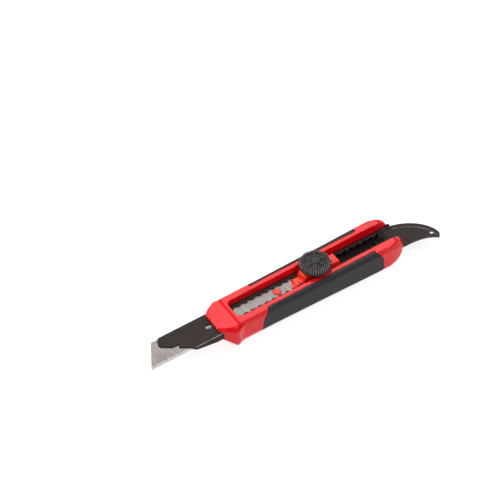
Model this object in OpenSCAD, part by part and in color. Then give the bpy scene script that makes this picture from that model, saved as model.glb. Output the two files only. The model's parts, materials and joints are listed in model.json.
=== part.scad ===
// Snap-off utility knife with a screw-lock slider and a creasing tail.
// Millimetres. +X runs from the blade tip to the tail, +Z out of the flat back,
// and the cutting edge faces -Y. The origin is on the flat back, on the centre line.

/* [Blade] */
// Width across the blade
blade_w = 18; // [17.6:0.1:18]
// Length along the cutting edge
blade_len = 100; // [96:1:100]
// Thickness of the blade
blade_t = 0.5; // [0.4:0.05:0.5]
// Distance between two score lines
score_pitch = 10; // [8:1:11]
// Width of the ground cutting edge
edge_w = 1.8; // [1:0.1:2.5]
// Distance of the blade tip ahead of the origin
tip_x = 105; // [103:1:107]

/* [Handle] */
// Half width of the window at the rails' tops
window_half = 7.3; // [7.1:0.1:7.5]
// Thickness of the soft grips
grip_t = 1.2; // [1:0.1:1.4]
// Thickness of the lid in the back
cover_t = 2.2; // [2:0.1:2.6]

/* [Channel] */
// Outside width of the folded channel
channel_w = 19.4; // [19.2:0.1:19.4]
// Thickness of the channel's sheet steel
sheet_t = 0.6; // [0.5:0.05:0.6]
// Distance between two teeth of the wavy lips, which is one click
wave_pitch = 5; // [4:0.5:6]
// How far the waves swing to either side of their mean line
wave_swing = 0.55; // [0.3:0.05:0.55]
// Mean width of the slot between the lips
slot_w = 7.5; // [7.3:0.1:7.6]

/* [Slider] */
// Width of the block above the lips
block_w = 7.2; // [6.8:0.1:7.4]
// Height of the block's top above the flat back
block_top = 18.3; // [17.9:0.1:18.5]
// Radius of the pin that carries the blade
pin_r = 2.5; // [2.1:0.1:2.5]

/* [Lock wheel] */
// Radius of the wheel's thin bottom flange
wheel_r = 10.1; // [9.8:0.1:10.4]
// Number of ribs round the skirt
ribs = 36; // [24:2:40]
// Radius of the lock screw
bolt_r = 2; // [1.8:0.05:2]

/* [Tail] */
// Thickness of the tail plate
tail_t = 1.15; // [1:0.05:1.15]
// Radius of the hanging hole
tail_hole_r = 1.1; // [0.9:0.1:1.3]
// Width of the raised rim along the tail's outer edge
rim_w = 3; // [2.4:0.1:3.4]

/* [Hidden] */
$fn = 48;

// Heights above the flat back
blade_z = 13.5;
lip_z = blade_z + 1.05;
lip_under_z = lip_z - sheet_t;
floor_z = blade_z - 4.95;
tail_z = floor_z - 0.05;
deck_z = 7;
wheel_z = blade_z + 7.5;
// Clearances
fit = 0.05;
far = 60;
// Handle stations along X
mouth_x = -57;
window_x = -42.7;
rear_x = 76.2;
// Channel stations along X: tapered sleeve, full depth, walls cut down, rear end
sleeve_x = -75;
deep_x = -56;
low_wall_x = 75;
channel_end = 81;
channel_half = channel_w / 2;
inside_half = channel_half - sheet_t;
bend_r = 1;
// The wavy slot starts here, and a wide place of it lies at wave_x and every wave_pitch from there
slot_x = -54.5;
wave_x = -37.85;
// Peep hole ahead of the handle
peep_x0 = -61.9;
peep_x1 = -57.1;
peep_r = 1.7;
// Slider stations along X
tongue_x = -14.5;
step_x = 2.2;
block_x0 = 8.5;
block_x1 = 34;
pin = [-10.3, 0];
wheel_xy = [17.8, 0];
// Lock plate, its screw and what holds the wheel on the screw
plate_l = 11;
plate_w = 12.2;
plate_t = 1.4;
plate_top = lip_under_z - fit;
head_t = 1.6;
clamp_drop = 0.7;
bolt_top = wheel_z + 3.6;
clip_z = wheel_z + 2.9;
clip_t = 0.4;
nut_flat_r = 3.25;
washer_t = 0.65;
pad_top = wheel_z - fit - washer_t;
wheel_h = 4;
// Lid and screws in the back
cover_x0 = -36;
cover_x1 = 56;
cover_half = 6.7;
cover_screw_xy = [for (x = [-30, 50], y = [-4, 4]) [x, y]];
channel_screw_x = [-20, 30];
rivet_xy = [[70, -6.3], [70, 6.3]];
tail_root_x = 60;
tail_hole = [99.9, -9.5];

function bezier(a, b, c, n) =
    [for (i = [0:n]) let (t = i / n) (1 - t) * (1 - t) * a + 2 * t * (1 - t) * b + t * t * c];
function curve(a, b, c, d, n) =
    [for (i = [0:n]) let (t = i / n, s = 1 - t)
        s * s * s * a + 3 * s * s * t * b + 3 * s * t * t * c + t * t * t * d];
function mirrored(points) = [for (i = [len(points) - 1:-1:0]) [-points[i][0], points[i][1]]];

// Extrudes a profile drawn in (Y, Z) from x0 to x1
module along_x(x0, x1) {
    translate([x0, 0, 0]) rotate([90, 0, 90]) linear_extrude(x1 - x0) children();
}

// Extrudes an outline drawn in (X, Y) from z0 to z1
module upright(z0, z1) {
    translate([0, 0, z0]) linear_extrude(z1 - z0) children();
}

// Extrudes an outline drawn in (X, Z) from y0 to y1
module sideways(y0, y1) {
    translate([0, y1, 0]) rotate([90, 0, 0]) linear_extrude(y1 - y0) children();
}

module block(lo, hi) {
    translate(lo) cube(hi - lo);
}

module post(xy, r, z0, z1) {
    translate([xy[0], xy[1], z0]) cylinder(h = z1 - z0, r = r);
}

// Rectangle from lo to hi with round corners of radius r
module rounded(lo, hi, r) {
    translate([lo[0] + r, lo[1]]) square([hi[0] - lo[0] - 2 * r, hi[1] - lo[1]]);
    translate([lo[0], lo[1] + r]) square([hi[0] - lo[0], hi[1] - lo[1] - 2 * r]);
    for (x = [lo[0] + r, hi[0] - r], y = [lo[1] + r, hi[1] - r])
        translate([x, y]) circle(r);
}

// ---- Handle ----

// Stations of the handle's skin:
// [x, half width, back z, top z, back corner radius, half width of the top, z of the fold]
stations = [
    [mouth_x, 7.6, 8.9, 16.4, 1.2, 6.3, 15.2],
    [-55.3, 9.6, 8, 16.7, 1.6, 8, 15.3],
    [-53.4, 11.2, 6.4, 16.9, 2.4, 9.2, 15.2],
    [-50.7, 12.9, 3.8, 17.15, 3.2, 10.6, 15],
    [-48.2, 14.3, 1.4, 17.4, 4, 11.7, 14.9],
    [-46.9, 14.5, 0.5, 17.5, 4.6, 11.7, 15],
    [-45.3, 13.9, 0.2, 17.6, 4.9, 11.6, 15.1],
    [-43.9, 13.2, 0.05, 18.2, 5.2, 11.4, 15.7],
    [-42, 12.7, 0, 18.3, 5.4, 11.5, 16.2],
    [-20, 12.7, 0, 18.5, 5.4, 11.5, 16.1],
    [20, 13.3, 0, 19, 5, 11.9, 16.4],
    [55, 13.9, 0, 19.5, 4.4, 12.4, 16.8],
    [66, 13.9, 0.2, 19.5, 4, 12.6, 16.6],
    [70.5, 13.5, 1.2, 19.2, 4.5, 11.6, 15.8],
    [73.5, 12.9, 3.2, 18.4, 4.5, 10.4, 14.8],
    [75.3, 12.2, 6.2, 17.2, 3, 9.6, 14],
    [rear_x, 11.2, 9.6, 15.6, 1.2, 8.9, 13.2]
];

// Half of one section, from the back up to the top, where it ends at the grip's inner edge
grip_edge = 10;
function half_section(s, inset) =
    let (w = s[1] - inset, back = s[2] + inset, top = s[3] - inset, r = max(s[4] - inset, 0.3),
         flat = s[5] - 0.6 * inset, fold = s[6] - 0.4 * inset)
    concat(
        bezier([w - r, back], [w, back], [w, back + r], 7),
        bezier([w, fold - 1.4], [w, fold], [w - 0.35, fold + 0.45], 4),
        bezier([flat + 0.25, top - 0.3], [flat, top], [flat - 0.6, top], 4),
        [[min(grip_edge, flat - 0.7), top]]);
function grip_section(s, inside, outside) =
    let (outer = half_section(s, outside), inner = half_section(s, inside))
    concat(outer, [for (i = [len(inner) - 1:-1:0]) inner[i]]);

// Solid through closed sections that all have the same number of points
module loft(xs, sections) {
    m = len(sections[0]);
    n = len(xs);
    points = [for (i = [0:n - 1], p = sections[i]) [xs[i], p[0], p[1]]];
    sides = [for (i = [0:n - 2], j = [0:m - 1]) let (k = (j + 1) % m)
        [i * m + j, (i + 1) * m + j, (i + 1) * m + k, i * m + k]];
    triangles = [for (q = sides) each [[q[0], q[1], q[2]], [q[0], q[2], q[3]]]];
    front = [for (j = [0:m - 1]) j];
    rear = [for (j = [m - 1:-1:0]) (n - 1) * m + j];
    polyhedron(points, concat(triangles, [front, rear]), convexity = 6);
}

module skin() {
    loft([for (s = stations) s[0]],
         [for (s = stations) let (half = half_section(s, 0)) concat(half, mirrored(half))]);
}

// Side view of a grip, with a slanted front and a round upper rear corner
module grip_outline() {
    polygon(concat(
        [[-29.8, -3]],
        bezier([-28, 10], [-26, 17], [-20, 22.5], 6),
        bezier([46, 22], [58.5, 21], [60, 11], 8),
        [[60.4, -3]]));
}

// Grip on the +Y side; outside widens it, for cutting its bed out of the handle
module grip(outside) {
    wrapped = [for (s = stations) if (s[0] > -43 && s[0] < 72) s];
    intersection() {
        loft([for (s = wrapped) s[0]], [for (s = wrapped) grip_section(s, grip_t, outside)]);
        sideways(0, far) grip_outline();
    }
}

module channel_room() {
    clear = fit;
    block([mouth_x - 1, -channel_half - clear, floor_z - clear],
          [rear_x + 1, channel_half + clear, lip_z + clear]);
}

// Outline of the window, open to the rear between the prongs
module window_outline(front, half, corner_r) {
    rounded([front, -half], [far, half], corner_r);
    translate([far - 5, -half]) square([far, 2 * half]);
}

// Opening between the rails, wider at the top than at the lips
module window() {
    draft = 1.4;
    wide_z = 19.4;
    hull() {
        upright(lip_z - 1, lip_z) window_outline(window_x + draft, window_half - draft, 2.2);
        upright(wide_z, far) window_outline(window_x, window_half, 3);
    }
}

module lid_outline(clear) {
    rounded([cover_x0 - clear, -cover_half - clear], [cover_x1 + clear, cover_half + clear], 3);
}

module housing_shell() {
    boss_r = 2.4;
    pilot_r = 1.02;
    color("crimson") difference() {
        union() {
            difference() {
                skin();
                grip(-2);
                mirror([0, 1, 0]) grip(-2);
                upright(-1, deck_z) lid_outline(fit);
            }
            for (xy = cover_screw_xy) post(xy, boss_r, cover_t + fit, deck_z + 0.5);
        }
        channel_room();
        window();
        // Bed of the tail plate and its rivet heads
        block([tail_root_x - 0.1, -channel_half - fit, tail_z - tail_t - fit],
              [rear_x + 1, channel_half + fit, floor_z]);
        for (xy = rivet_xy) post(xy, 2.1, tail_z - tail_t - 0.75, tail_z);
        for (xy = cover_screw_xy) post(xy, pilot_r, 0, deck_z - 0.2);
        for (x = channel_screw_x) post([x, 0], 1.15, deck_z - 1, floor_z + 1);
    }
}

module back_cover() {
    color("firebrick") difference() {
        upright(0, cover_t) lid_outline(0);
        for (xy = cover_screw_xy) {
            post(xy, 1.15, -1, cover_t + 1);
            post(xy, 2.3, -1, 1.2);
        }
        // Shallow finger ribs across the lid
        for (i = [-3:3]) block([12.5 + 5 * i, -4, -1], [13.7 + 5 * i, 4, 0.4]);
    }
}

module grip_near() {
    color("dimgray") mirror([0, 1, 0]) grip(0);
}

module grip_far() {
    color("dimgray") grip(0);
}

// Screw with a flat head at the bottom, a cross recess and a plain shank
module screw(xy, head_r, head_z, head_t, shank_r, shank_top) {
    recess = 0.35;
    difference() {
        union() {
            post(xy, head_r, head_z, head_z + head_t);
            post(xy, shank_r, head_z, shank_top);
        }
        translate([xy[0], xy[1], head_z]) {
            cube([head_r * 1.2, recess, 1.2], center = true);
            cube([recess, head_r * 1.2, 1.2], center = true);
        }
    }
}

module cover_screws() {
    color("silver") for (xy = cover_screw_xy) screw(xy, 2.2, 0.15, 1.03, 1, 6.5);
}

module channel_screws() {
    color("silver") for (x = channel_screw_x) screw([x, 0], 2, deck_z - 1.25, 1.2, 1, floor_z + 0.5);
}

// ---- Channel and tail ----

// Side view of the channel: the floor rises towards the front of the sleeve
module channel_side(inset) {
    nose_x = -tip_x + 12;
    polygon([[nose_x, lip_z - 2.2 + inset], [sleeve_x, lip_z - 2.4 + inset], [deep_x, floor_z + inset],
             [channel_end + inset, floor_z + inset], [channel_end + inset, lip_z + 1], [nose_x, lip_z + 1]]);
}

module channel_tube(inset, corner_r) {
    intersection() {
        along_x(-tip_x, channel_end + inset) rounded([-channel_half + inset, floor_z + inset],
                                                     [channel_half - inset, lip_z - inset], corner_r);
        sideways(-far, far) channel_side(inset);
    }
}

// Above the walls' low rear ends
module above_low_walls() {
    low = blade_z - 2;
    polygon(concat(
        [[low_wall_x - 3, lip_z + 1], [low_wall_x + 0.5, low]],
        bezier([channel_end - 2, low], [channel_end - 0.4, low], [channel_end, floor_z + 1], 5),
        [[channel_end + 1, floor_z + 1], [channel_end + 1, lip_z + 1]]));
}

// Everything ahead of the sleeve's slanted front edge, with the seam's small notch
module ahead_of_sleeve() {
    polygon(concat(
        [[-tip_x, -far], [-73.8, -far], [-73.8, -channel_half]],
        [[-82.7, -3.4], [-81.2, -2.5], [-81.7, -1.6], [-85.9, -1.2]],
        bezier([-90.9, 2.4], [-92.3, 3.6], [-92, 5], 4),
        bezier([-90.6, 8], [-89.7, 9.6], [-87.7, channel_half + 0.1], 4),
        [[-87.7, far], [-tip_x, far]]));
}

// Wavy edge of a lip: the mean line y0 and the direction in which the wide places lie
function wavy(x0, x1, y0, side) =
    let (steps = 10, count = ceil((x1 - x0) / wave_pitch * steps))
    [for (i = [0:count]) let (x = x0 + (x1 - x0) * i / count)
        [x, y0 + side * wave_swing * cos(360 * (x - wave_x) / wave_pitch)]];

module lip_slot() {
    start = slot_x + 4;
    low = wavy(start, channel_end + 1, -slot_w / 2, -1);
    high = wavy(start, channel_end + 1, slot_w / 2, 1);
    upright(lip_under_z - 0.3, lip_z + 1) {
        polygon(concat(
            bezier([start, high[0][1]], [slot_x, high[0][1]], [slot_x, 0], 6),
            bezier([slot_x, 0], [slot_x, low[0][1]], [start, low[0][1]], 6),
            low,
            [for (i = [len(high) - 1:-1:0]) high[i]]));
        rounded([peep_x0, -peep_r], [peep_x1, peep_r], peep_r - 0.01);
    }
}

module blade_channel() {
    stop_x = 64;
    color("#3a3534") {
        difference() {
            channel_tube(0, bend_r);
            channel_tube(sheet_t, 0.4);
            lip_slot();
            upright(floor_z - 1, lip_z + 1) ahead_of_sleeve();
            sideways(-far, far) above_low_walls();
            for (x = channel_screw_x) post([x, 0], 1.02, floor_z - 1, floor_z + 2);
            for (xy = rivet_xy) post(xy, 1.22, floor_z - 1, floor_z + 2);
        }
        // Rear stop tab for the carriage
        block([stop_x, -3, floor_z + sheet_t / 2], [stop_x + 0.8, 3, floor_z + 2.2]);
    }
}

tail_start = 78;
outer_edge = curve([channel_end, 9.4], [93, 6.9], [103.4, -2.4], [103.9, -12.3], 20);
inner_edge = curve([101.2, -15.1], [96, -10.4], [88, -9.3], [tail_start, -channel_half + 0.3], 14);

module tail_outline() {
    polygon(concat(
        [[tail_root_x, -channel_half + 0.3], [tail_root_x, channel_half - 0.3]],
        outer_edge,
        bezier([103.9, -12.3], [103.9, -12.8], [103.6, -13.2], 3),
        bezier([102.2, -15.1], [101.8, -15.6], [101.2, -15.1], 3),
        inner_edge));
}

// Band that follows the outer edge of the tail
module rim_outline() {
    inner = [for (i = [0:len(outer_edge) - 1])
        let (a = outer_edge[max(i - 1, 0)], b = outer_edge[min(i + 1, len(outer_edge) - 1)],
             d = b - a, p = outer_edge[i] + rim_w * [d[1], -d[0]] / norm(d))
        p];
    intersection() {
        polygon(concat(outer_edge, [for (i = [len(inner) - 1:-1:0]) inner[i]]));
        translate([channel_end + 0.1, -far]) square(2 * far);
    }
}

module crease_tail() {
    rim_h = 0.35;
    color("#3a3534") difference() {
        union() {
            upright(tail_z - tail_t, tail_z) tail_outline();
            upright(tail_z - 0.2, tail_z + rim_h) rim_outline();
        }
        post(tail_hole, tail_hole_r, 0, far);
        for (xy = rivet_xy) post(xy, 1.22, 0, far);
    }
}

module tail_rivets() {
    color("gray") for (xy = rivet_xy) {
        post(xy, 1.2, tail_z - tail_t - 0.6, floor_z + sheet_t + 0.6);
        post(xy, 1.9, floor_z + sheet_t + 0.02, floor_z + sheet_t + 0.6);
        post(xy, 1.9, tail_z - tail_t - 0.6, tail_z - tail_t - 0.02);
    }
}

// ---- Slider ----

snap_dx = blade_w * tan(30);

module blade() {
    half = blade_w / 2;
    flat = blade_t / 2;
    score_w = 0.22;
    score_d = 0.06;
    color("lightgray") difference() {
        intersection() {
            along_x(-tip_x - 1, far) polygon([
                [half, blade_z + flat], [-half + edge_w, blade_z + flat], [-half, blade_z + 0.02],
                [-half, blade_z - 0.02], [-half + edge_w, blade_z - flat], [half, blade_z - flat]]);
            upright(blade_z - 1, blade_z + 1) polygon([
                [-tip_x, -half], [blade_len - tip_x, -half],
                [blade_len - tip_x + snap_dx, half], [snap_dx - tip_x, half]]);
        }
        post(pin, pin_r + 0.12, blade_z - 1, blade_z + 1);
        for (i = [1:8]) {
            x = -tip_x + i * score_pitch;
            upright(blade_z + flat - score_d, blade_z + 1) polygon([
                [x - score_w / 2, -half], [x + score_w / 2, -half],
                [x + score_w / 2 + snap_dx, half], [x - score_w / 2 + snap_dx, half]]);
        }
    }
}

module slider_carriage() {
    bottom = floor_z + sheet_t + 0.08;
    tongue_top = blade_z - blade_t / 2 - fit;
    pocket_z = plate_top - plate_t - head_t - clamp_drop - 0.15;
    body_half = inside_half - 0.15;
    neck_half = 2.9;
    over_lips = lip_z + 0.2;
    foot_x = block_x0 - 1.9;
    pin_top = blade_z + 0.9;
    room = 0.3;
    color("orangered") difference() {
        union() {
            block([tongue_x, -body_half + 0.6, bottom], [block_x1, body_half - 0.6, bottom + 1]);
            block([tongue_x, -body_half, bottom + 0.7], [block_x1, body_half, tongue_top]);
            block([7, -body_half + 0.6, tongue_top - 1], [block_x1, body_half - 0.6, lip_under_z - 0.1]);
            // Neck between the lips, with a low step ahead of the block
            block([foot_x + 0.3, -neck_half, tongue_top - 1], [block_x1, neck_half, over_lips + 0.3]);
            block([step_x, -neck_half, tongue_top - 1], [block_x1, neck_half, lip_z - 0.2]);
            // Block above the lips, with a steep front face
            sideways(-block_w / 2, block_w / 2) polygon([
                [foot_x, over_lips], [block_x0 - 0.4, block_top - 0.5], [block_x0, block_top],
                [block_x1 - 1, block_top], [block_x1, block_top - 1.2], [block_x1, over_lips]]);
            // Round seat under the wheel
            post(wheel_xy, 6, block_top - 0.8, pad_top);
            // Pin that carries the blade
            post(pin, pin_r, tongue_top - 1, pin_top - 0.35);
            translate([pin[0], pin[1], pin_top - 0.35]) cylinder(h = 0.35, r1 = pin_r, r2 = pin_r - 0.5);
        }
        post(wheel_xy, bolt_r + 0.15, 0, far);
        // Pocket of the lock plate and the screw's head
        block([wheel_xy[0] - plate_l / 2 - room, -plate_w / 2 - room, pocket_z],
              [wheel_xy[0] + plate_l / 2 + room, plate_w / 2 + room, lip_under_z + 0.05]);
        // Slot of the detent leaf
        block([23.8, neck_half - 1, lip_under_z - 0.15], [32.5, neck_half + 3, over_lips]);
        // Ridges moulded in the block's rear for the thumb
        for (i = [0:2])
            block([26.5 + 2.2 * i, -block_w, block_top - 0.4], [27.3 + 2.2 * i, block_w, far]);
    }
}

module detent_spring() {
    leaf_t = 0.4;
    bump_r = 1.25;
    bump_x = wave_x + 13 * wave_pitch;
    leaf_y = 2.5;
    leaf_x0 = 23.9;
    leaf_x1 = 32.3;
    color("silver") upright(lip_under_z - 0.05, lip_z) {
        difference() {
            translate([bump_x, leaf_y]) circle(bump_r);
            translate([bump_x, leaf_y]) circle(bump_r - leaf_t);
            translate([bump_x - far, leaf_y - far]) square([2 * far, far]);
        }
        translate([leaf_x0, leaf_y - leaf_t / 2]) square([bump_x - bump_r + 0.3 - leaf_x0, leaf_t]);
        translate([bump_x + bump_r - 0.3, leaf_y - leaf_t / 2])
            square([leaf_x1 - bump_x - bump_r + 0.3, leaf_t]);
    }
}

module wheel_washer() {
    color("silver") difference() {
        post(wheel_xy, 5.5, pad_top, pad_top + washer_t);
        post(wheel_xy, bolt_r + 0.3, 0, far);
    }
}

// ---- Lock wheel ----

module lock_wheel() {
    rib_r = 0.42;
    flange_t = 0.8;
    top = wheel_z + wheel_h;
    color("#454140") translate([wheel_xy[0], wheel_xy[1], 0]) difference() {
        rotate_extrude($fn = 96) polygon(concat(
            [[0, wheel_z], [wheel_r - 0.3, wheel_z], [wheel_r, wheel_z + 0.3], [wheel_r, wheel_z + flange_t],
             [wheel_r - 0.25, wheel_z + flange_t + 0.1]],
            bezier([9.4, top - 1.5], [9.2, top - 0.1], [7.9, top], 5),
            [[6.6, top - 0.15], [6.2, top - 0.45], [0, top - 0.45]]));
        // Grooves between the ribs
        for (i = [0:ribs - 1]) rotate(i * 360 / ribs)
            translate([9.95, 0, wheel_z + flange_t + 0.2]) rotate([0, -6, 0])
                cylinder(h = 5, r = rib_r, $fn = 16);
        // Six dents that leave a star on the top
        for (i = [0:5]) rotate(i * 60 + 15) translate([5, 0, top + 1.35]) sphere(r = 2.2, $fn = 32);
        cylinder(h = top, r = bolt_r + 0.2);
        // Hexagonal pocket of the insert, and room for the clip above it
        translate([0, 0, wheel_z + 0.3]) cylinder(h = 1.8, r = nut_flat_r / cos(30) + 0.02, $fn = 6);
        translate([0, 0, wheel_z + 1]) cylinder(h = wheel_h, r = 3.25);
    }
}

module wheel_nut() {
    color("goldenrod") difference() {
        translate([wheel_xy[0], wheel_xy[1], wheel_z + 0.32])
            cylinder(h = 1.76, r = nut_flat_r / cos(30), $fn = 6);
        post(wheel_xy, bolt_r + 0.04, 0, far);
    }
}

module wheel_cap() {
    low = wheel_z + wheel_h - 0.28;
    color("#454140") translate([wheel_xy[0], wheel_xy[1], low]) rotate_extrude($fn = 64) polygon(concat(
        [[0, 0], [3.2, 0], [3.2, 0.13]],
        bezier([2.9, 0.48], [2, 0.68], [0, 0.68], 5)));
}

module clamp_bolt() {
    head_r = 3.4;
    plate_bottom = plate_top - plate_t;
    color("silver") difference() {
        union() {
            post(wheel_xy, bolt_r, plate_bottom - 1, bolt_top);
            post(wheel_xy, head_r, plate_bottom - head_t - 0.02, plate_bottom - 0.02);
        }
        // Groove of the clip
        difference() {
            post(wheel_xy, bolt_r + 1, clip_z - 0.02, clip_z + clip_t + 0.02);
            post(wheel_xy, bolt_r - 0.5, clip_z - 1, clip_z + 1);
        }
    }
}

module clamp_plate() {
    color("gray") difference() {
        block([wheel_xy[0] - plate_l / 2, wheel_xy[1] - plate_w / 2, plate_top - plate_t],
              [wheel_xy[0] + plate_l / 2, wheel_xy[1] + plate_w / 2, plate_top]);
        post(wheel_xy, bolt_r + 0.02, 0, far);
    }
}

module bolt_clip() {
    color("silver") difference() {
        post(wheel_xy, 3, clip_z, clip_z + clip_t);
        post(wheel_xy, bolt_r - 0.48, 0, far);
        // The clip's open mouth
        block([wheel_xy[0], wheel_xy[1] - 1, clip_z - 1], [wheel_xy[0] + 5, wheel_xy[1] + 1, clip_z + 2]);
    }
}

housing_shell();
back_cover();
grip_near();
grip_far();
blade_channel();
crease_tail();
tail_rivets();
channel_screws();
cover_screws();
slider_carriage();
blade();
detent_spring();
wheel_washer();
lock_wheel();
wheel_nut();
wheel_cap();
clamp_bolt();
clamp_plate();
bolt_clip();
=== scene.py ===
"""Snap-off utility knife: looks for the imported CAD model. Metres, in the CAD model's own frame."""
import json
import math

import bmesh
import bpy
import numpy as np
from mathutils import Matrix, Vector


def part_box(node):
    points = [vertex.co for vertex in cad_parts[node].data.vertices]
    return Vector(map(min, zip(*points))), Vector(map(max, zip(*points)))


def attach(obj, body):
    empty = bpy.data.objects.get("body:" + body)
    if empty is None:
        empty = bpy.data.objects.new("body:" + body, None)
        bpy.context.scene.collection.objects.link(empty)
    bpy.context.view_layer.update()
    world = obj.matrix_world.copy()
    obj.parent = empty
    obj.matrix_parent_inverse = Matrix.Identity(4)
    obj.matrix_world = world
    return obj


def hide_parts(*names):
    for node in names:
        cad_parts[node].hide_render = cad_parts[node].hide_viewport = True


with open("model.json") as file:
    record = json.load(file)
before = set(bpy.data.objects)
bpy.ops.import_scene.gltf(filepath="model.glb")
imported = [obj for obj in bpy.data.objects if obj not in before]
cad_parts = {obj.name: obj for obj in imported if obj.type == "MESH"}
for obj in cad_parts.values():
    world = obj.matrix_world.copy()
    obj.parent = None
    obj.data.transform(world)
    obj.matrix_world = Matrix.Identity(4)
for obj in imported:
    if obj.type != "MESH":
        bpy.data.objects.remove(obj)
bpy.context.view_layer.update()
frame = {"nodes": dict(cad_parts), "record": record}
NODES = frame["nodes"]
SLOT_OF = {part["node"]: part["material_slot"] for part in frame["record"]["subparts"]}
MM = 0.001

# ---- Camera, floor and light ----

CAMERA_AIM = Vector((-0.01254, 0.02572, 0.02971))
CAMERA_AZIMUTH = math.radians(32.051)
CAMERA_ELEVATION = math.radians(47.679)
CAMERA_ROLL = math.radians(-1.769)
CAMERA_DISTANCE = 1.2
CAMERA_LENS = 142.03
SENSOR = 36.0
LIGHT_AIM = Vector((0, 0, 0.01))
FLOOR_HALF = 3.0
FLOOR_GAP = 0.0002
# Each light's place, size and power
LIGHTS = {
    "back_box": ((0.52, 0.82, 1.1), (1.2, 1.0), 11.5),
    "left_box": ((-0.8, 0.5, 1.0), (0.5, 0.5), 6),
    "edge_box": ((-0.96, 0.74, 0.46), (0.26, 0.26), 6),
    "strip": ((0.45, -0.42, 1.15), (1.3, 0.07), 7),
    "left_fill": ((-1.1, -1.0, 0.5), (0.5, 0.4), 2.5),
}


def link(obj):
    bpy.context.scene.collection.objects.link(obj)
    return obj


def aim_at(obj, place, aim, roll=0.0):
    """Puts obj at place with its -Z axis towards aim, and its Y axis upright before the roll."""
    turn = (aim - place).to_track_quat("-Z", "Y").to_matrix().to_4x4()
    obj.matrix_world = Matrix.Translation(place) @ turn @ Matrix.Rotation(roll, 4, "Z")


def make_camera():
    data = bpy.data.cameras.new("camera")
    data.lens = CAMERA_LENS
    data.sensor_width = SENSOR
    data.clip_end = 20
    camera = link(bpy.data.objects.new("camera", data))
    away = Vector((
        -math.sin(CAMERA_AZIMUTH) * math.cos(CAMERA_ELEVATION),
        -math.cos(CAMERA_AZIMUTH) * math.cos(CAMERA_ELEVATION),
        math.sin(CAMERA_ELEVATION)))
    aim_at(camera, CAMERA_AIM + away * CAMERA_DISTANCE, CAMERA_AIM, CAMERA_ROLL)
    bpy.context.scene.camera = camera


def area_light(name, place, size, watts):
    data = bpy.data.lights.new(name, "AREA")
    data.shape = "RECTANGLE"
    data.size, data.size_y = size
    data.energy = watts
    lamp = link(bpy.data.objects.new(name, data))
    aim_at(lamp, Vector(place), LIGHT_AIM)


def make_floor():
    """Pale floor, just under the knife, with a little light of its own so that it stays white."""
    mesh = bpy.data.meshes.new("floor")
    corners = [(x * FLOOR_HALF, y * FLOOR_HALF, 0) for x, y in ((-1, -1), (1, -1), (1, 1), (-1, 1))]
    mesh.from_pydata(corners, [], [(0, 1, 2, 3)])
    floor = link(bpy.data.objects.new("floor", mesh))
    floor.location.z = -FLOOR_GAP
    material = bpy.data.materials.new("floor")
    material.use_nodes = True
    shader = material.node_tree.nodes["Principled BSDF"]
    shader.inputs["Base Color"].default_value = (0.35, 0.35, 0.35, 1)
    shader.inputs["Roughness"].default_value = 0.9
    shader.inputs["Emission Color"].default_value = (1, 1, 1, 1)
    shader.inputs["Emission Strength"].default_value = 0.82
    mesh.materials.append(material)


def make_light():
    """A dim room with soft boxes behind, on the left and low on the left, a strip for bends, and a fill."""
    world = bpy.data.worlds.new("studio")
    bpy.context.scene.world = world
    world.use_nodes = True
    background = world.node_tree.nodes["Background"]
    background.inputs["Color"].default_value = (1, 1, 1, 1)
    background.inputs["Strength"].default_value = 0.16
    for name, (place, size, watts) in LIGHTS.items():
        area_light(name, place, size, watts)
    bpy.context.scene.view_settings.view_transform = "Standard"


# ---- Materials ----

WORN_EDGE = 0.4 * MM
EDGE_WEAR = 0.12
SCORE_PITCH = 10 * MM
SCORE_LEAN = math.tan(math.radians(30))
GROUND_EDGE = 1.8 * MM
EDGE_BLUR = 0.1 * MM
COARSE_BUMP = 0.2 * MM
FINE_BUMP = 0.1 * MM
GRINDING_BUMP = 0.06 * MM


def shaded(colour, factor):
    return tuple(channel * factor for channel in colour)


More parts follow.
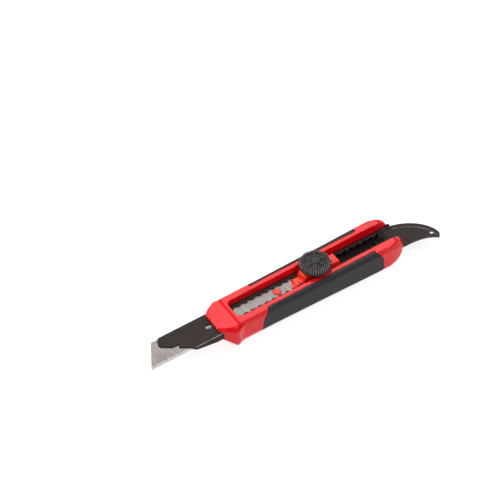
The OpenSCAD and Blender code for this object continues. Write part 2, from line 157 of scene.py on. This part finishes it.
class Nodes:
    """A material's node tree, with short ways to add what every material here needs."""

    def __init__(self, name):
        self.material = bpy.data.materials.new(name)
        self.material.use_nodes = True
        self.tree = self.material.node_tree
        self.shader = self.tree.nodes["Principled BSDF"]
        self.place = self.add("ShaderNodeTexCoord").outputs["Object"]

    def add(self, kind, **settings):
        node = self.tree.nodes.new(kind)
        for key, value in settings.items():
            setattr(node, key, value)
        return node

    def join(self, source, target):
        self.tree.links.new(source, target)

    def set(self, **values):
        for key, value in values.items():
            self.shader.inputs[key.replace("_", " ")].default_value = value

    def stretched(self, scale):
        mapping = self.add("ShaderNodeMapping")
        mapping.inputs["Scale"].default_value = scale
        self.join(self.place, mapping.inputs["Vector"])
        return mapping.outputs["Vector"]

    def noise(self, per_metre, detail=3.0, stretch=(1, 1, 1)):
        node = self.add("ShaderNodeTexNoise")
        node.inputs["Scale"].default_value = per_metre
        node.inputs["Detail"].default_value = detail
        self.join(self.stretched(stretch), node.inputs["Vector"])
        return node.outputs["Fac"]

    def range(self, value, low, high, new_low, new_high):
        node = self.add("ShaderNodeMapRange")
        self.join(value, node.inputs["Value"])
        for name, number in zip(("From Min", "From Max", "To Min", "To Max"), (low, high, new_low, new_high)):
            node.inputs[name].default_value = number
        return node.outputs["Result"]

    def math(self, how, a, b):
        node = self.add("ShaderNodeMath", operation=how)
        for socket, value in zip(node.inputs, (a, b)):
            if isinstance(value, (int, float)):
                socket.default_value = value
            else:
                self.join(value, socket)
        return node.outputs["Value"]

    def blend(self, factor, a, b):
        node = self.add("ShaderNodeMix", data_type="RGBA")
        self.join(factor, node.inputs["Factor"])
        for socket, value in zip((node.inputs[6], node.inputs[7]), (a, b)):
            if isinstance(value, tuple):
                socket.default_value = (*value, 1)
            else:
                self.join(value, socket)
        return node.outputs[2]

    def edges(self, radius):
        """Near 1 on convex edges within about radius, 0 elsewhere."""
        bevel = self.add("ShaderNodeBevel", samples=6)
        bevel.inputs["Radius"].default_value = radius
        normal = self.add("ShaderNodeNewGeometry").outputs["Normal"]
        dot = self.add("ShaderNodeVectorMath", operation="DOT_PRODUCT")
        self.join(bevel.outputs["Normal"], dot.inputs[0])
        self.join(normal, dot.inputs[1])
        return self.range(dot.outputs["Value"], 0.995, 0.9, 0.0, 1.0)

    def bends(self):
        """Near 1 where an upper face turns down into a wall, 0 on flat faces; it places a painted highlight
        along the bends.
        """
        mid_bend = 0.66
        axes = self.add("ShaderNodeSeparateXYZ")
        self.join(self.add("ShaderNodeTexCoord").outputs["Normal"], axes.inputs["Vector"])
        tilt = self.math("ABSOLUTE", self.math("SUBTRACT", axes.outputs["Z"], mid_bend), 0)
        return self.range(tilt, 0.12, 0.3, 1.0, 0.0)

    def bump(self, height, strength, distance):
        node = self.add("ShaderNodeBump")
        node.inputs["Strength"].default_value = strength
        node.inputs["Distance"].default_value = distance
        self.join(height, node.inputs["Height"])
        self.join(node.outputs["Normal"], self.shader.inputs["Normal"])

    def colour(self, value):
        self.join(value, self.shader.inputs["Base Color"])

    def rough(self, value):
        self.join(value, self.shader.inputs["Roughness"])


def moulded(name, colour, shade, roughness, gloss):
    """Moulded plastic: slightly uneven colour, scuffs, and the fine unevenness of a moulded face."""
    m = Nodes(name)
    cloud = m.noise(70, 4)
    base = m.blend(m.range(cloud, 0.3, 0.7, 0, 1), colour, shade)
    scuffs = m.range(m.noise(300, 8, (1, 6, 6)), 0.62, 0.75, 0, 1)
    m.colour(base)
    m.rough(m.math("ADD", m.range(cloud, 0.3, 0.7, roughness - 0.04, roughness + 0.04),
                   m.math("MULTIPLY", scuffs, 0.12)))
    m.set(Specular_IOR_Level=gloss)
    m.bump(m.noise(1400, 2), 0.04, COARSE_BUMP)
    return m.material


def rubber(name, colour, shade, gloss, wear_and_highlight=None):
    """Matt moulded grip or wheel; the optional paler colour is a painted highlight on what the mesh marks as
    crests, broken into patches by noise.
    """
    m = Nodes(name)
    cloud = m.noise(90, 5)
    grain = m.noise(3200, 3)
    body = m.blend(m.range(cloud, 0.3, 0.7, 0, 1), colour, shade)
    if wear_and_highlight:
        # Painted highlight: the crests of the wheel's ribs and the star's edges get the paler colour, in
        # patches
        crest = m.add("ShaderNodeAttribute", attribute_name="crest").outputs["Fac"]
        patchy_crest_highlight = m.math("MULTIPLY", crest, m.range(m.noise(600, 3), 0.3, 0.6, 0.5, 1))
        body = m.blend(patchy_crest_highlight, body, wear_and_highlight)
    m.colour(body)
    m.rough(m.range(grain, 0.3, 0.7, 0.42, 0.62))
    m.set(Specular_IOR_Level=gloss)
    m.bump(grain, 0.25, COARSE_BUMP)
    return m.material


def coated_steel(name, colour, wear_and_bend_highlight):
    """Black-brown coated sheet with a painted highlight along its bends, slightly rubbed edges and faint draw
    lines along X.
    """
    m = Nodes(name)
    lines = m.noise(900, 4, (0.03, 1, 1))
    cloud = m.noise(120, 5)
    wear_and_highlight = m.range(m.noise(500, 4), 0.35, 0.6, 0.35, 0.95)
    # The paler colour is rubbed wear on the edges and a painted highlight along the bends, both broken into
    # patches by noise
    edge = m.math("MAXIMUM", m.math("MULTIPLY", m.edges(WORN_EDGE), EDGE_WEAR), m.bends())
    body = m.blend(m.range(cloud, 0.3, 0.7, 0, 1), colour, shaded(colour, 0.75))
    m.colour(m.blend(m.math("MULTIPLY", edge, wear_and_highlight), body, wear_and_bend_highlight))
    m.rough(m.range(lines, 0.3, 0.7, 0.3, 0.44))
    m.set(Specular_IOR_Level=0.09)
    m.bump(lines, 0.08, FINE_BUMP)
    return m.material


def steel(name, colour):
    """Rolled or turned metal with fine lines along Y."""
    m = Nodes(name)
    lines = m.noise(1600, 5, (1, 0.03, 1))
    stain = m.noise(110, 4)
    m.colour(m.blend(m.range(stain, 0.3, 0.72, 0, 1), colour, shaded(colour, 0.82)))
    m.rough(m.range(lines, 0.3, 0.7, 0.24, 0.4))
    m.set(Metallic=1.0)
    m.bump(lines, 0.12, GRINDING_BUMP)
    return m.material


def blade_steel(name, colour, ground):
    """Carbon steel strip: ground lines across its length, darker score lines and a bright ground edge."""
    low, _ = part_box("blade")
    m = Nodes(name)
    axes = m.add("ShaderNodeSeparateXYZ")
    m.join(m.place, axes.inputs["Vector"])
    width = m.math("SUBTRACT", axes.outputs["Y"], low[1])
    along = m.math("SUBTRACT", axes.outputs["X"], low[0])
    slanted = m.math("SUBTRACT", along, m.math("MULTIPLY", width, SCORE_LEAN))
    phase = m.math("FRACT", m.math("ADD", m.math("DIVIDE", slanted, SCORE_PITCH), 0.5), 0)
    score = m.range(m.math("ABSOLUTE", m.math("SUBTRACT", phase, 0.5), 0), 0.012, 0.03, 1, 0)
    edge = m.range(width, GROUND_EDGE - EDGE_BLUR, GROUND_EDGE + EDGE_BLUR, 1, 0)
    lines = m.noise(2600, 5, (1, 0.04, 1))
    stain = m.range(m.noise(110, 5), 0.35, 0.7, 0, 1)
    body = m.blend(stain, colour, shaded(colour, 0.8))
    body = m.blend(m.range(lines, 0.35, 0.7, 0, 0.35), body, shaded(colour, 0.6))
    body = m.blend(edge, body, ground)
    m.colour(m.blend(m.math("MULTIPLY", score, 0.4), body, shaded(colour, 0.4)))
    m.rough(m.range(lines, 0.3, 0.7, 0.36, 0.52))
    m.set(Metallic=1.0)
    m.bump(lines, 0.15, GRINDING_BUMP)
    return m.material


# Each slot: how its material is made, then that function's colours, roughness and gloss
MATERIALS = {
    "red_plastic": (moulded, (0.79, 0.003, 0.009), (0.7, 0.002, 0.007), 0.22, 0.31),
    "slider_plastic": (moulded, (0.95, 0.03, 0.008), (0.87, 0.024, 0.007), 0.22, 0.35),
    "grip_rubber": (rubber, (0.024, 0.019, 0.023), (0.018, 0.014, 0.017), 0.28),
    # The wheel's last colour is the painted highlight on its crests
    "wheel_plastic": (rubber, (0.022, 0.018, 0.017), (0.014, 0.011, 0.011), 0.35, (0.3, 0.28, 0.265)),
    # Coated steel's second colour serves both the edge wear and the painted bend highlight
    "coated_steel": (coated_steel, (0.032, 0.022, 0.021), (0.4, 0.37, 0.35)),
    "blade_steel": (blade_steel, (0.245, 0.221, 0.209), (0.4, 0.37, 0.355)),
    "plain_steel": (steel, (0.5, 0.5, 0.5)),
    "brass_insert": (steel, (0.6, 0.42, 0.16)),
}
made = {}


def material_of(slot):
    if slot not in made:
        make, *looks = MATERIALS[slot]
        made[slot] = make(slot, *looks)
    return made[slot]


def finish_nodes():
    """Gives every CAD node the material of its slot."""
    for node, slot in SLOT_OF.items():
        mesh = NODES[node].data
        mesh.materials.clear()
        mesh.materials.append(material_of(slot))


# ---- Pieces ----

def new_piece(name, mesh, body, node):
    """A finished piece that stands for a CAD node."""
    piece = link(bpy.data.objects.new(name, mesh))
    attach(piece, body)
    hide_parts(node)
    mesh.materials.clear()
    mesh.materials.append(material_of(SLOT_OF[node]))


def applied(obj, name):
    """The mesh of obj with its modifiers applied; obj itself goes."""
    graph = bpy.context.evaluated_depsgraph_get()
    mesh = bpy.data.meshes.new_from_object(obj.evaluated_get(graph))
    mesh.name = name
    bpy.data.objects.remove(obj)
    return mesh


def moulded_copy(node, body, voxel, passes, ratio=1.0):
    """Stands for a CAD node with a copy that has every edge rounded; ratio thins the copy's faces."""
    work = link(bpy.data.objects.new(node + "_work", NODES[node].data.copy()))
    remesh = work.modifiers.new("remesh", "REMESH")
    remesh.mode = "VOXEL"
    remesh.voxel_size = voxel
    smooth = work.modifiers.new("smooth", "SMOOTH")
    smooth.factor = 0.5
    smooth.iterations = passes
    if ratio < 1:
        thin = work.modifiers.new("thin", "DECIMATE")
        thin.ratio = ratio
    mesh = applied(work, node + "_moulded")
    mesh.shade_smooth()
    new_piece(node + "_moulded", mesh, body, node)


def smooth_step(x, low, high):
    t = np.clip((x - low) / (high - low), 0, 1)
    return t * t * (3 - 2 * t)


def lathe(name, rings):
    """Closed mesh through rings of points; the last ring joins the first."""
    rows, columns = len(rings), len(rings[0])
    points = [tuple(p) for ring in rings for p in ring]
    faces = []
    for i in range(rows):
        for j in range(columns):
            k = (j + 1) % columns
            n = (i + 1) % rows
            faces.append((i * columns + j, i * columns + k, n * columns + k, n * columns + j))
    mesh = bpy.data.meshes.new(name)
    mesh.from_pydata(points, [], faces)
    mesh.shade_smooth()
    bm = bmesh.new()
    bm.from_mesh(mesh)
    bmesh.ops.recalc_face_normals(bm, faces=bm.faces)
    bm.to_mesh(mesh)
    bm.free()
    return mesh


# The wheel's ribs and lobes, and its radii and depths in millimetres
RIBS = 36
RIB_STEPS = 14
RIB_HEIGHT = 1.25
LOBES = 6
LOBE_MEAN = 4.75
LOBE_SWING = 1.35
BORE_R = 3.27
SKIRT_FOOT_R = 9.2
SKIRT_TOP_R = 8.0
RING_R = 6.7
RING_DROP = 0.45
STAR_DROP = 0.02
DISH_DEPTH = 0.65


def make_lock_wheel():
    """Knurled wheel: thin flange, tapering skirt with ribs that end in teeth, and a six-lobed star on top."""
    low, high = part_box("lock_wheel")
    centre = (np.array(low) + np.array(high)) / 2
    z0, top = low[2] / MM, high[2] / MM
    rim = (high[0] - low[0]) / 2 / MM
    angles = np.linspace(0, 2 * math.pi, RIBS * RIB_STEPS, endpoint=False)
    rib = smooth_step(0.5 + 0.5 * np.cos(RIBS * angles), 0.3, 1.0)
    star = LOBE_MEAN + LOBE_SWING * np.cos(LOBES * angles)
    on_crest = smooth_step(rib, 0.35, 0.9)
    rings, crests = [], []

    def ring(r, z, crest=0.0):
        crests.extend(np.broadcast_to(crest, angles.shape))
        r = np.broadcast_to(r, angles.shape)
        z = np.broadcast_to(z, angles.shape)
        rings.append(np.stack([
            centre[0] + r * np.cos(angles) * MM, centre[1] + r * np.sin(angles) * MM, z * MM], axis=1))

    # Bottom, and the flange's rounded edge
    for r in (BORE_R, BORE_R + 0.1, rim - 1, rim - 0.3):
        ring(r, z0)
    for inset, rise in ((0.08, 0.08), (0, 0.3), (0, 0.6), (0.08, 0.78), (0.25, 0.85)):
        ring(rim - inset, z0 + rise)
    # Skirt: ribs stand ever further out of the groove floor towards the top
    foot, brow = z0 + 0.9, top - 0.6
    for t in np.linspace(0, 1, 9):
        ground = SKIRT_FOOT_R - (SKIRT_FOOT_R - SKIRT_TOP_R) * t
        proud = smooth_step(t, 0.0, 0.2) * (0.5 + (RIB_HEIGHT - 0.5) * t)
        ring(ground + proud * rib, foot + (brow - foot) * t, on_crest * min(1, 4 * t))
    # Shoulder: the ribs turn inwards over the edge and die out
    ring_z = top - RING_DROP
    for t in np.linspace(0.12, 1, 9):
        turn = t * math.pi / 2
        r = RING_R + (SKIRT_TOP_R - RING_R + RIB_HEIGHT * rib) * math.cos(turn)
        z = brow + (ring_z - brow) * math.sin(turn) + RING_DROP * rib * math.sin(min(2 * turn, math.pi))
        ring(r, np.minimum(z, top), on_crest * (1 - t))
    # Top: a dished ring, then the star, whose edges are marked for the painted highlight
    for r in np.linspace(6.5, 3.5, 17):
        on_star = smooth_step(star - r, -0.3, 0.3)
        depth = DISH_DEPTH * (1 - smooth_step(r, 5.9, 6.6))
        ring(r, ring_z - depth + (depth + RING_DROP - STAR_DROP) * on_star, 2 * on_star * (1 - on_star))
    # Bore, down to the bottom again
    for z in (top - 0.1, top - 0.9, z0 + 1.2):
        ring(BORE_R, z)
    mesh = lathe("lock_wheel_ribbed", rings)
    # The crest marks say where the rubber material paints its highlight
    crest_values = mesh.attributes.new("crest", "FLOAT", "POINT").data
    crest_values.foreach_set("value", np.array(crests, dtype=np.float32))
    new_piece("lock_wheel_ribbed", mesh, "wheel", "lock_wheel")


make_camera()
make_floor()
make_light()
finish_nodes()
moulded_copy("housing_shell", "housing", 0.32 * MM, passes=3, ratio=0.6)
moulded_copy("back_cover", "housing", 0.3 * MM, passes=2)
moulded_copy("grip_near", "housing", 0.26 * MM, passes=3)
moulded_copy("grip_far", "housing", 0.26 * MM, passes=3)
moulded_copy("crease_tail", "housing", 0.2 * MM, passes=4)
moulded_copy("slider_carriage", "slider", 0.24 * MM, passes=2)
make_lock_wheel()
